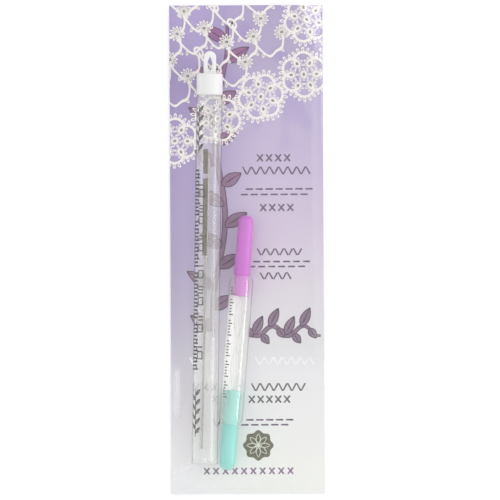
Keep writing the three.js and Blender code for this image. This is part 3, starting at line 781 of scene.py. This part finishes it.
def clear_plastic(name, place, middle, veil, shine, rim_highlight, roughness, neck=(0.0, 0.0)):
    """Clear thin-walled plastic: light passes straight on, under a soft gloss and a pale, streaked veil.
    The lower wall's veil, the second value, is stronger, because it blurs what lies further behind it,
    and both grow towards the foot. Seen edge on, the outer skin is a dark line, painted shade, and the
    bore a pale one, a painted highlight. The middle radius tells them apart. From the first value of
    neck on, it is less by the second."""
    plastic = new_finish(name)
    foot = place.translation
    turn = -place.to_euler().z
    across = Vector((cos(turn), -sin(turn), 0))
    streaks = stretched_noise(plastic, (1100, 9, 1100), 3.0, turn)
    spot = add("TexCoord", {}, plastic)["Object"]
    along = add("SeparateXYZ", {0: spot})
    aside = add("VectorMath", {0: spot, 1: across}, operation="DOT_PRODUCT")["Value"]
    section = add("CombineXYZ", {0: aside, 1: along[2]})[0]
    axis = foot.dot(across) * MM, foot.z * MM, 0
    from_axis = add("VectorMath", {0: section, 1: axis}, operation="DISTANCE")["Value"]
    on_neck = maths("GREATER_THAN", along[1], neck[0] * MM)
    outside = maths("GREATER_THAN", from_axis,
                    maths("MULTIPLY_ADD", on_neck, -neck[1] * MM, middle * MM))
    grazing = add("LayerWeight", {"Blend": 0.5}, plastic)["Facing"]
    gloss = add("BsdfAnisotropic", {
        "Color": (0.98, 0.99, 1.0, 1), "Normal": bumped(streaks, 0.004, 0.3),
        "Roughness": ranged(streaks, roughness * 0.7, roughness * 1.4)})[0]
    passing = add("BsdfTransparent", {"Color": (0.99, 0.99, 0.985, 1)}, plastic)[0]
    # Painted shade: the outer skin darkens the light it passes where it is seen edge on, as a dark
    # outline.
    painted_edge_shade = add("BsdfTransparent", {"Color": ramp(maths("MULTIPLY", outside, grazing), [
        (0.5, (0.99, 0.99, 0.985)), (0.95, (0.52, 0.53, 0.54))])})[0]
    share = maths("MULTIPLY_ADD", maths("POWER", grazing, 4.0), 0.35, shine)
    clear = mixed(share, painted_edge_shade, gloss)
    milk_and_rim_highlight = add("BsdfDiffuse", {"Color": (0.93, 0.925, 0.91, 1)}, plastic)[0]
    walls = ranged(along[2], *veil, (foot.z + 1.0) * MM, (foot.z - 1.0) * MM)
    growth = ranged(along[1], 1.0, 2.3, *VEIL_GROWS)
    # Painted highlight: white is added to the bore's veil where it is seen edge on, as a pale outline.
    painted_rim_highlight = maths("MULTIPLY", maths("POWER", grazing, 6.0),
                      maths("MULTIPLY_ADD", outside, -rim_highlight, rim_highlight))
    veil_and_rim_highlight = maths("MULTIPLY_ADD", maths("MULTIPLY", walls, growth),
                       ranged(streaks, 0.85, 1.15), painted_rim_highlight)
    body = mixed(veil_and_rim_highlight, clear, milk_and_rim_highlight)
    path = add("LightPath", {}, plastic)
    for_lamps = mixed(path["Is Shadow Ray"], body, passing)
    return show(plastic, mixed(path["Is Diffuse Ray"], for_lamps, passing))


neck_start = NEEDLE_TUBE_PLACE @ Vector((0, t.barrel, 0))
clear_tube = clear_plastic("clear_tube", NEEDLE_TUBE_PLACE, t.radius - t.wall / 2, (0.04, 0.10),
                           0.035, 0.6, 0.12, (neck_start.y + 0.3, t.radius - t.neck))
piece("needle_tube_clear", needle_tube_bm, [clear_tube], "needle_tube", "clear_tube", "needle_tube")

gate_bm = settled(turned([
    (0, t.floor - 0.1), (0.75, t.floor - 0.1), (0.75, t.floor + 0.5),
    (0.5, t.floor + 1.5), (0, t.floor + 1.6)], 24, 0.08), NEEDLE_TUBE_PLACE)
frosted = new_finish("frosted_plastic")
surfaced(frosted, {"Base Color": mottled(frosted, 1500, (0.84, 0.84, 0.83), (0.93, 0.93, 0.92)),
                   "Roughness": 0.45})
piece("needle_tube_gate_mark", gate_bm, [frosted], "needle_tube", "clear_tube")


def wrapped(bm, radius, place):
    """Lays a flat drawing, X across and Y along, on a tube's skin, where X 0 is the tube's top."""
    thickened(bm, TUBE_INK)
    for vert in bm.verts:
        angle = vert.co.x / radius
        reach = radius + TUBE_INK_CLEAR + vert.co.z
        vert.co = (reach * sin(angle), vert.co.y, reach * cos(angle))
    faced_outwards(bm)
    return settled(bm, place)


def strip(bm, x, y, breadth, length, ink=0):
    """A rectangle of ink, cut into columns so that it bends round a tube."""
    verts = bmesh.ops.create_grid(bm, x_segments=4, y_segments=1, size=0.5)["verts"]
    coloured(verts, ink)
    bmesh.ops.scale(bm, vec=(breadth, length, 1), verts=verts)
    moved(bm, verts, set_at(x, y))


marks_bm = bmesh.new()
for k in range(TICKS.count):
    if k % TICKS.group == TICKS.group - 1:
        continue
    y = TICKS.start + TICKS.pitch * k
    strip(marks_bm, SIDE_ROW, y, TICKS.lengths[k % 5], 0.8)
    if k % 5 in (0, 2):
        strip(marks_bm, SIDE_ROW + 1.3, y + 0.8, 0.5, 1.2)
for k in range(LADDERS.count):
    y = LADDERS.start + LADDERS.pitch * k
    for rung in (0.0, LADDERS.rungs):
        strip(marks_bm, TOP_ROW, y + rung, 2.8, 0.5, 1)
    for rail in (-1.15, 1.15):
        strip(marks_bm, TOP_ROW + rail, y + LADDERS.rungs / 2, 0.5, LADDERS.rungs, 1)
    for bar in range(k % 3 + 1):
        strip(marks_bm, TOP_ROW, y + 5.2 + 1.4 * bar, 2.6, 0.6, 1)
# A translucent olive band lies on the tube's top beside the needle, in two lengths.
for low, high in OLIVE_BANDS:
    strip(marks_bm, -1.3, (low + high) / 2, 2.1, high - low, 2)
for foot in SPRIGS:
    spine = [(SIDE_ROW + 1.1, foot + 1.0 * k) for k in range(22)]
    stem(marks_bm, spine, [0.4] * 22, 0.0, 0.05, 0)
    for k in range(9):
        way = radians(90 + (42 if k % 2 else -42))
        leaf(marks_bm, 3.8, 1.5, set_at(SIDE_ROW + 1.1, foot + 1.5 + 2.1 * k, 2 * HAIR, way), 0.3, 1, 0)

black_ink = print_ink("black_ink", (0.02, 0.02, 0.025), (0.05, 0.05, 0.055))
tube_grey_ink = print_ink("tube_grey_ink", (0.09, 0.09, 0.08), (0.16, 0.16, 0.14))
olive_band_ink = new_finish("translucent_olive_band")
olive_band_colour = add("BsdfDiffuse", {
    "Color": mottled(olive_band_ink, 600, (0.17, 0.16, 0.10), (0.25, 0.24, 0.17))})[0]
olive_band_gap = add("BsdfTransparent", {"Color": (1, 1, 1, 1)}, olive_band_ink)[0]
show(olive_band_ink, mixed(0.5, olive_band_gap, olive_band_colour))
piece("needle_tube_marks", wrapped(marks_bm, t.radius, NEEDLE_TUBE_PLACE),
      [black_ink, tube_grey_ink, olive_band_ink], "needle_tube", "clear_tube")


# The hang cap is white moulded plastic: a plain round cap whose flat tab has a pointed oval eye. It
# is pushed over the tube's neck.
CAP = Sizes(radius=5.75, height=9.35, edge=0.7, socket=5.0, depth=7.2, start=163.0)
TAB = Sizes(half=2.75, height=9.9, thickness=1.6, low=0.8, eye_half=1.05, eye=6.7, sunk=1.0, edge=0.28)
TAB_STEPS = 64
CAP_PLACE = NEEDLE_TUBE_PLACE @ set_at(y=CAP.start)
cap_bm = settled(turned([
    (0, CAP.depth), (CAP.socket, CAP.depth), (CAP.socket, 0), (CAP.radius, 0),
    *quarter((CAP.radius, CAP.height - CAP.edge), (CAP.radius - CAP.edge, CAP.height)),
    (0, CAP.height),
], 96, 0.15), CAP_PLACE)


def resampled(line, count):
    """Points at equal steps along a closed line."""
    line = [Vector(point) for point in line]
    line.append(line[0])
    spans = [(b - a).length for a, b in zip(line, line[1:])]
    whole = sum(spans)
    points = []
    for k in range(count):
        want = whole * k / count
        for a, b, span in zip(line, line[1:], spans):
            if want <= span:
                points.append(a.lerp(b, want / span))
                break
            want -= span
    return points


half = TAB.half
root_height = CAP.height - TAB.sunk
crown = CAP.height + TAB.height - half
tab_outline = [(0, root_height), (half, root_height), (half, crown)]
tab_outline += [(half * cos(pi * k / 24), crown + half * sin(pi * k / 24)) for k in range(1, 25)]
tab_outline += [(-half, root_height)]
eye_low = CAP.height + TAB.low
eye_outline = [(TAB.eye_half * sin(pi * k / 16), eye_low + TAB.eye * k / 16) for k in range(17)]
eye_outline += [(-x, y) for x, y in reversed(eye_outline[1:-1])]

tab_bm = bmesh.new()
for outline in (tab_outline, eye_outline):
    ring = bmesh.ops.create_circle(tab_bm, cap_ends=False, radius=1.0, segments=TAB_STEPS)["verts"]
    ring.sort(key=lambda vert: atan2(vert.co.x, -vert.co.y) % tau)
    for vert, point in zip(ring, resampled(outline, TAB_STEPS)):
        vert.co = (*point, -TAB.thickness / 2)
bmesh.ops.bridge_loops(tab_bm, edges=tab_bm.edges[:])
thickened(tab_bm, TAB.thickness)
faced_outwards(tab_bm)
rims = [edge for edge in tab_bm.edges if edge.calc_face_angle(0.0) > SHARP
        and abs(edge.verts[0].co.z - edge.verts[1].co.z) < 1e-6]
bmesh.ops.bevel(tab_bm, geom=rims, offset=TAB.edge, segments=3, profile=0.5, affect="EDGES",
                material=-1)
cap_bm.from_mesh(as_mesh(settled(tab_bm, CAP_PLACE)))


def moulded(name, low, high, roughness):
    """Opaque moulded plastic: cloudy colour, a faint orange peel, and scuffs in its gloss."""
    plastic = new_finish(name)
    mottle = stretched_noise(plastic, (120, 60, 120), 3.0)
    peel = stretched_noise(plastic, (1400, 1400, 1400), 2.0)
    scuff = stretched_noise(plastic, (700, 160, 700), 4.0)
    return surfaced(plastic, {
        "Base Color": ramp(mottle, [(0.3, low), (0.7, high)]),
        "Roughness": ranged(scuff, roughness - 0.07, roughness + 0.1),
        "Normal": bumped(peel, 0.006, 0.5), "Specular IOR Level": 0.45})


white_plastic = moulded("white_plastic", (0.83, 0.82, 0.80), (0.89, 0.88, 0.87), 0.42)
piece("hang_cap_moulded", cap_bm, [white_plastic], "hang_cap", "white_plastic", "hang_cap")


# The needle is one polished, nickel-plated steel wire of one thickness throughout, with a long eye
# pressed through one end and a blunt tip. It lies loose and askew on the lower wall of the tube.
NEEDLE = Sizes(radius=0.45, length=129.2, eye=3.4, eye_width=0.36, from_end=0.9)
NEEDLE_TIP = Vector((-1.5, 6.4, -3.923))
NEEDLE_EYE = Vector((0.09, 135.6, -4.199))
needle_turn = Vector((0, 1, 0)).rotation_difference(NEEDLE_EYE - NEEDLE_TIP).to_matrix().to_4x4()
r = NEEDLE.radius
needle_bm = turned([(0, 0), *quarter((0.1 * r, 0), (r, 2 * r), True),
                    *quarter((r, NEEDLE.length - r), (0.1 * r, NEEDLE.length)),
                    (0, NEEDLE.length)], 32)
slot_end = NEEDLE.length - NEEDLE.from_end
slot_start = slot_end - NEEDLE.eye
slot_half = NEEDLE.eye_width / 2
for spot, out in (((slot_half, 0, 0), (1, 0, 0)), ((-slot_half, 0, 0), (1, 0, 0)),
                  ((0, slot_start, 0), (0, 1, 0)), ((0, slot_end, 0), (0, 1, 0))):
    bmesh.ops.bisect_plane(needle_bm, plane_co=spot, plane_no=out,
                           geom=[*needle_bm.verts, *needle_bm.edges, *needle_bm.faces])
over_slot = [face for face in needle_bm.faces
             if abs(face.calc_center_median().x) < slot_half
             and slot_start < face.calc_center_median().y < slot_end]
bmesh.ops.delete(needle_bm, geom=over_slot, context="FACES")
bmesh.ops.bridge_loops(needle_bm, edges=[edge for edge in needle_bm.edges if edge.is_boundary])
faced_outwards(needle_bm)
settled(needle_bm, NEEDLE_TUBE_PLACE @ Matrix.Translation(NEEDLE_TIP) @ needle_turn)


def steel(name, low, high, roughness, scale):
    """Polished steel with fine draw lines along it."""
    metal = new_finish(name)
    lines = stretched_noise(metal, scale, 3.0)
    return surfaced(metal, {
        "Base Color": ramp(lines, [(0.3, low), (0.7, high)]), "Metallic": 1.0,
        "Roughness": ranged(lines, roughness * 0.7, roughness * 1.4),
        "Normal": bumped(lines, 0.004, 0.5)})


needle_steel = steel("needle_steel", (0.36, 0.345, 0.29), (0.50, 0.485, 0.42), 0.2, (4000, 60, 4000))
piece("tatting_needle_polished", needle_bm, [needle_steel], "needle", "needle_steel", "tatting_needle")


# The threader's own tube is clear plastic too, but cloudier, and drawn in to a mouth at each end,
# where it grips the two handles' plugs.
THREADER = Sizes(radius=5.3, wall=0.8, length=65.7, shoulder=4.0, mouth=3.45, lip=4.0)
THREADER_PLACE = set_at(-7.671, -77.218, 7.1, -radians(4.68))
THREADER_TICKS = Sizes(count=38, start=12.0, pitch=1.3, group=7, row=-4.3)
h = THREADER
end = h.length
threader_bore = h.radius - h.wall
inner = h.shoulder + h.wall
threader_tube_bm = settled(turned([
    *quarter((h.lip, 0), (h.radius, h.shoulder), True, 12),
    *quarter((h.radius, end - h.shoulder), (h.lip, end), False, 12),
    (h.mouth, end),
    *quarter((h.mouth, end - h.wall), (threader_bore, end - inner), True, 12),
    *quarter((threader_bore, inner), (h.mouth, h.wall), False, 12),
    (h.mouth, 0), (h.lip, 0),
], 96, 0.1), THREADER_PLACE)
cloudy_tube = clear_plastic("cloudy_tube", THREADER_PLACE, h.radius - h.wall / 2, (0.015, 0.33),
                            0.055, 1.2, 0.08)
piece("threader_tube_clear", threader_tube_bm, [cloudy_tube], "threader_tube", "clear_tube",
      "threader_tube")

threader_marks_bm = bmesh.new()
for k in range(THREADER_TICKS.count):
    step = k % THREADER_TICKS.group
    if step == THREADER_TICKS.group - 1:
        continue
    breadth = 2.2 if step in (0, 4) else 1.3
    strip(threader_marks_bm, THREADER_TICKS.row + (breadth - 1.3) / 2,
          THREADER_TICKS.start + THREADER_TICKS.pitch * k, breadth, 0.5)
piece("threader_tube_marks", wrapped(threader_marks_bm, h.radius, THREADER_PLACE),
      [tube_grey_ink], "threader_tube", "clear_tube")


# The threader has two handles of satin plastic, teal below and purple above. Each is one moulding:
# a plug that the tube grips, and a rounded grip outside it.
PLUG = 3.15
EDGE = 0.25
LOOSE = 0.3
LEG_HOLE = Sizes(radius=0.63, depth=4.9)
TEAL = Sizes(plug=15.0, grip=20.0, radius=3.55, round=3.0)
PURPLE = Sizes(plug=9.0, grip=26.4, radius=3.6, top=3.3, round=2.6)
teal_end = -LOOSE - TEAL.grip
teal_bm = settled(turned([
    (0, teal_end), *quarter((TEAL.radius - TEAL.round, teal_end),
                            (TEAL.radius, teal_end + TEAL.round), True, 12),
    (TEAL.radius, -LOOSE), (PLUG, -LOOSE),
    (PLUG, TEAL.plug - EDGE), (PLUG - EDGE, TEAL.plug),
    (LEG_HOLE.radius, TEAL.plug), (LEG_HOLE.radius, TEAL.plug - LEG_HOLE.depth),
    (0, TEAL.plug - LEG_HOLE.depth)], 64, 0.16), THREADER_PLACE)
teal_plastic = moulded("teal_plastic", (0.27, 0.68, 0.59), (0.32, 0.73, 0.65), 0.36)
piece("teal_handle_moulded", teal_bm, [teal_plastic], "teal_threader", "teal_plastic", "teal_handle")

plug_end = end - PURPLE.plug
seat = end + LOOSE
purple_end = seat + PURPLE.grip
purple_bm = settled(turned([
    (0, plug_end + LEG_HOLE.depth), (LEG_HOLE.radius, plug_end + LEG_HOLE.depth),
    (LEG_HOLE.radius, plug_end), (PLUG - EDGE, plug_end), (PLUG, plug_end + EDGE), (PLUG, seat),
    (PURPLE.radius, seat),
    *quarter((PURPLE.top, purple_end - PURPLE.round), (PURPLE.top - PURPLE.round, purple_end),
             False, 12),
    (0, purple_end)], 64, 0.16), THREADER_PLACE)
purple_plastic = moulded("purple_plastic", (0.59, 0.155, 0.575), (0.65, 0.195, 0.635), 0.36)
piece("purple_handle_moulded", purple_bm, [purple_plastic], "purple_threader", "purple_plastic",
      "purple_handle")


# In each plug sits a hairpin of fine steel wire that draws the thread through the needle's eye. Its
# two legs are pressed into a hole in the plug's end.
WIRE = Sizes(radius=0.13, gap=0.14, depth=4.6, width=3.4, length=19.85)


def smooth_line(points, per_span):
    """A Catmull-Rom curve through points in a plane."""
    out = []
    for k in range(len(points) - 1):
        a, b, c, d = [Vector(points[min(max(k + m, 0), len(points) - 1)]) for m in (-1, 0, 1, 2)]
        for step in range(per_span):
            u = step / per_span
            out.append(0.5 * (2 * b + (c - a) * u + (2 * a - 5 * b + 4 * c - d) * u ** 2
                              + (3 * b - a - 3 * c + d) * u ** 3))
    out.append(Vector(points[-1]))
    return out


def hairpin(place):
    """A round wire led along the hairpin's line, section by section."""
    leg = WIRE.gap / 2 + WIRE.radius
    bulge = WIRE.width / 2
    tip = WIRE.length
    side = [(leg, -WIRE.depth), (leg, -WIRE.depth / 2), (leg, 0), (0.55 * bulge, 0.2 * tip),
            (bulge, 0.5 * tip), (0.6 * bulge, 0.8 * tip), (0.3 * bulge, tip - 1.5 * bulge)]
    line = smooth_line([*side, (0, tip), *[(-x, y) for x, y in reversed(side)]], 8)
    bm = bmesh.new()
    bmesh.ops.create_circle(bm, cap_ends=True, radius=WIRE.radius, segments=10)
    section = bm.verts[:]
    front = bm.faces[:]
    last = Matrix.Identity(4)
    for k, point in enumerate(line):
        way = (line[min(k + 1, len(line) - 1)] - line[max(k - 1, 0)]).normalized()
        here = Matrix(((0, -way.y, way.x, point.x), (0, way.x, way.y, point.y), (1, 0, 0, 0),
                       (0, 0, 0, 1)))
        if k:
            out = bmesh.ops.extrude_face_region(bm, geom=front)["geom"]
            section = verts_in(out)
            front = [item for item in out if isinstance(item, bmesh.types.BMFace)]
        bmesh.ops.transform(bm, matrix=here @ last.inverted(), verts=section)
        last = here
    faced_outwards(bm)
    return settled(bm, place)


wire_steel = steel("wire_steel", (0.48, 0.47, 0.44), (0.66, 0.65, 0.62), 0.3, (3000, 200, 3000))
piece("teal_wire_hairpin", hairpin(THREADER_PLACE @ set_at(y=TEAL.plug)), [wire_steel],
      "teal_threader", "wire_steel", "teal_wire_loop")
piece("purple_wire_hairpin", hairpin(THREADER_PLACE @ set_at(y=plug_end, turn=pi)), [wire_steel],
      "purple_threader", "wire_steel", "purple_wire_loop")


# The sleeve's front web is the same film, drawn tight over both tubes, down past their feet to the
# foot weld, and down to the side welds. Its mouth stands open at the hang cap's end.
SLEEVE = Sizes(half=35.0, root=34.2, film=0.2, corner=1.8, foot=-108.25, end=-109.25, top=109.25)
SLACK = 0.3
FILM_SKIN = 0.06
TOUCHING = 0.12
MOUTH_OPENS = Sizes(start=16.0, length=40.0, spread=26.0)
CONTENTS_END = -98.4
CONTENTS_ROWS = 104
FOOT_ROWS = 12
FOLD = ((-25.5, -95.6), (-33.4, -99.0), 0.8)
BUCKLE = ((-31.6, -54.5), (-31.8, -71.0), 1.7)
RIGHT_MARGIN_HIGHLIGHT = ((30.2, 84.0), (30.9, -46.0), 1.5)


def film_line(y):
    """The web's line across the pack at one place along it, as (x, z, slack) points."""
    def centre(place, radius):
        foot = place.translation
        return foot.x - (y - foot.y) * tan(place.to_euler().z), foot.z, radius + SLACK

    left = centre(NEEDLE_TUBE_PLACE, NEEDLE_TUBE.radius)
    right = centre(THREADER_PLACE, THREADER.radius)
    opened = min(max((y - MOUTH_OPENS.start) / MOUTH_OPENS.length, 0), 1)
    spread = MOUTH_OPENS.spread * opened ** 2
    right = (right[0], right[1] - spread, right[2] + spread)
    root, corner = SLEEVE.root, SLEEVE.corner
    left_touch = pi + atan2(left[1] - corner, left[0] + root) - acos(
        left[2] / hypot(left[0] + root, left[1] - corner))
    right_touch = -atan2(right[1] - corner, root - right[0]) + acos(
        right[2] / hypot(root - right[0], right[1] - corner))
    between = hypot(right[0] - left[0], right[1] - left[1])
    bridge = atan2(right[1] - left[1], right[0] - left[0]) + acos((left[2] - right[2]) / between)

    def round_over(tube, start, stop, steps):
        angles = [start + (stop - start) * k / steps for k in range(steps + 1)]
        return [(tube[0] + tube[2] * cos(a), tube[1] + tube[2] * sin(a), TOUCHING) for a in angles]

    def straight(a, b, steps, slack):
        return [(a[0] + (b[0] - a[0]) * k / steps, a[1] + (b[1] - a[1]) * k / steps,
                 TOUCHING + slack * sin(pi * k / steps)) for k in range(1, steps)]

    film = SLEEVE.film
    over_left = round_over(left, left_touch, bridge, 14)
    over_right = round_over(right, bridge, right_touch, 14)
    return [(-SLEEVE.half, film, 0), (-root - 0.1, film, 0),
            (-root, film + 0.2, 0), (-root, corner - 0.3, 0), (-root + 0.15, corner, 0),
            *straight((-root, corner), over_left[0], 12, 0.9), *over_left,
            *straight(over_left[-1], over_right[0], 5, 0.2), *over_right,
            *straight(over_right[-1], (root, corner), 22, 0.3),
            (root - 0.15, corner, 0), (root, corner - 0.3, 0), (root, film + 0.2, 0),
            (root + 0.1, film, 0), (SLEEVE.half, film, 0)]


def near(x, y, a, b, breadth):
    """1 on the line from a to b, falling off over breadth to either side of it."""
    a, b, p = Vector(a), Vector(b), Vector((x, y))
    share = min(max((p - a).dot(b - a) / (b - a).length_squared, 0), 1)
    return exp(-(((p - a.lerp(b, share)).length / breadth) ** 2))


ROW_PLACES = [SLEEVE.top - (SLEEVE.top - CONTENTS_END) * k / CONTENTS_ROWS
              for k in range(CONTENTS_ROWS + 1)]
ROW_PLACES += [CONTENTS_END + (SLEEVE.foot - CONTENTS_END) * k / FOOT_ROWS
               for k in range(1, FOOT_ROWS + 1)]
ROW_PLACES += [SLEEVE.foot - 0.1, SLEEVE.foot - 0.2, SLEEVE.end]
lines = [film_line(y) for y in ROW_PLACES]
COLUMNS = len(lines[0])
film_bm = bmesh.new()
haze_and_highlight_layer = film_bm.verts.layers.float.new("haze_and_highlights")
bmesh.ops.create_grid(film_bm, x_segments=COLUMNS - 1, y_segments=len(ROW_PLACES) - 1, size=1.0)
for vert in film_bm.verts:
    column = round((vert.co.x + 1) / 2 * (COLUMNS - 1))
    row = round((1 - vert.co.y) / 2 * (len(ROW_PLACES) - 1))
    y = ROW_PLACES[row]
    x, z, slack = lines[row][column]
    if y < CONTENTS_END:
        share = max((y - SLEEVE.foot) / (CONTENTS_END - SLEEVE.foot), 0)
        limit = SLEEVE.corner if y > SLEEVE.foot - 0.05 else SLEEVE.film
        z = min(z, limit + (max(z, limit) - limit) * share)
        slack *= share
    ripple = noise.noise(Vector((x * 0.09, y * 0.02, 2.0))) + 0.4 * noise.noise(
        Vector((x * 0.22, y * 0.05, 7.0)))
    fold = near(x, y, *FOLD)
    buckle = near(x, y, *BUCKLE)
    band = near(x, y, *RIGHT_MARGIN_HIGHLIGHT)
    raised = slack * (0.5 + 0.5 * ripple) + (0.35 * fold + 0.3 * buckle) * min(slack, 0.6) / 0.6
    vert.co = (x, y, z + FILM_SKIN + raised)
    # Haze: the film's own faint haze all over; the rest is painted highlight, white where the film
    # reflects light: along the fold by the needle tube's foot, in a patch at the left margin, in a band
    # down the right margin and on the slope past the feet.
    foot_slope_highlight = 1.0 if y < -96.0 and z > 0.3 else 0.0
    vert[haze_and_highlight_layer] = 0.008 + 0.22 * fold + 0.38 * buckle + 0.05 * band + 0.05 * foot_slope_highlight
faced_outwards(film_bm)
if sum(face.normal.z for face in film_bm.faces) < 0:
    bmesh.ops.reverse_faces(film_bm, faces=film_bm.faces)
bmesh.ops.solidify(film_bm, geom=film_bm.faces[:], thickness=FILM_SKIN)
settled(film_bm)
piece("sleeve_front_film_drawn", film_bm, [clear_film], "sleeve", "film", "sleeve_front_film")

low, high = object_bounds()
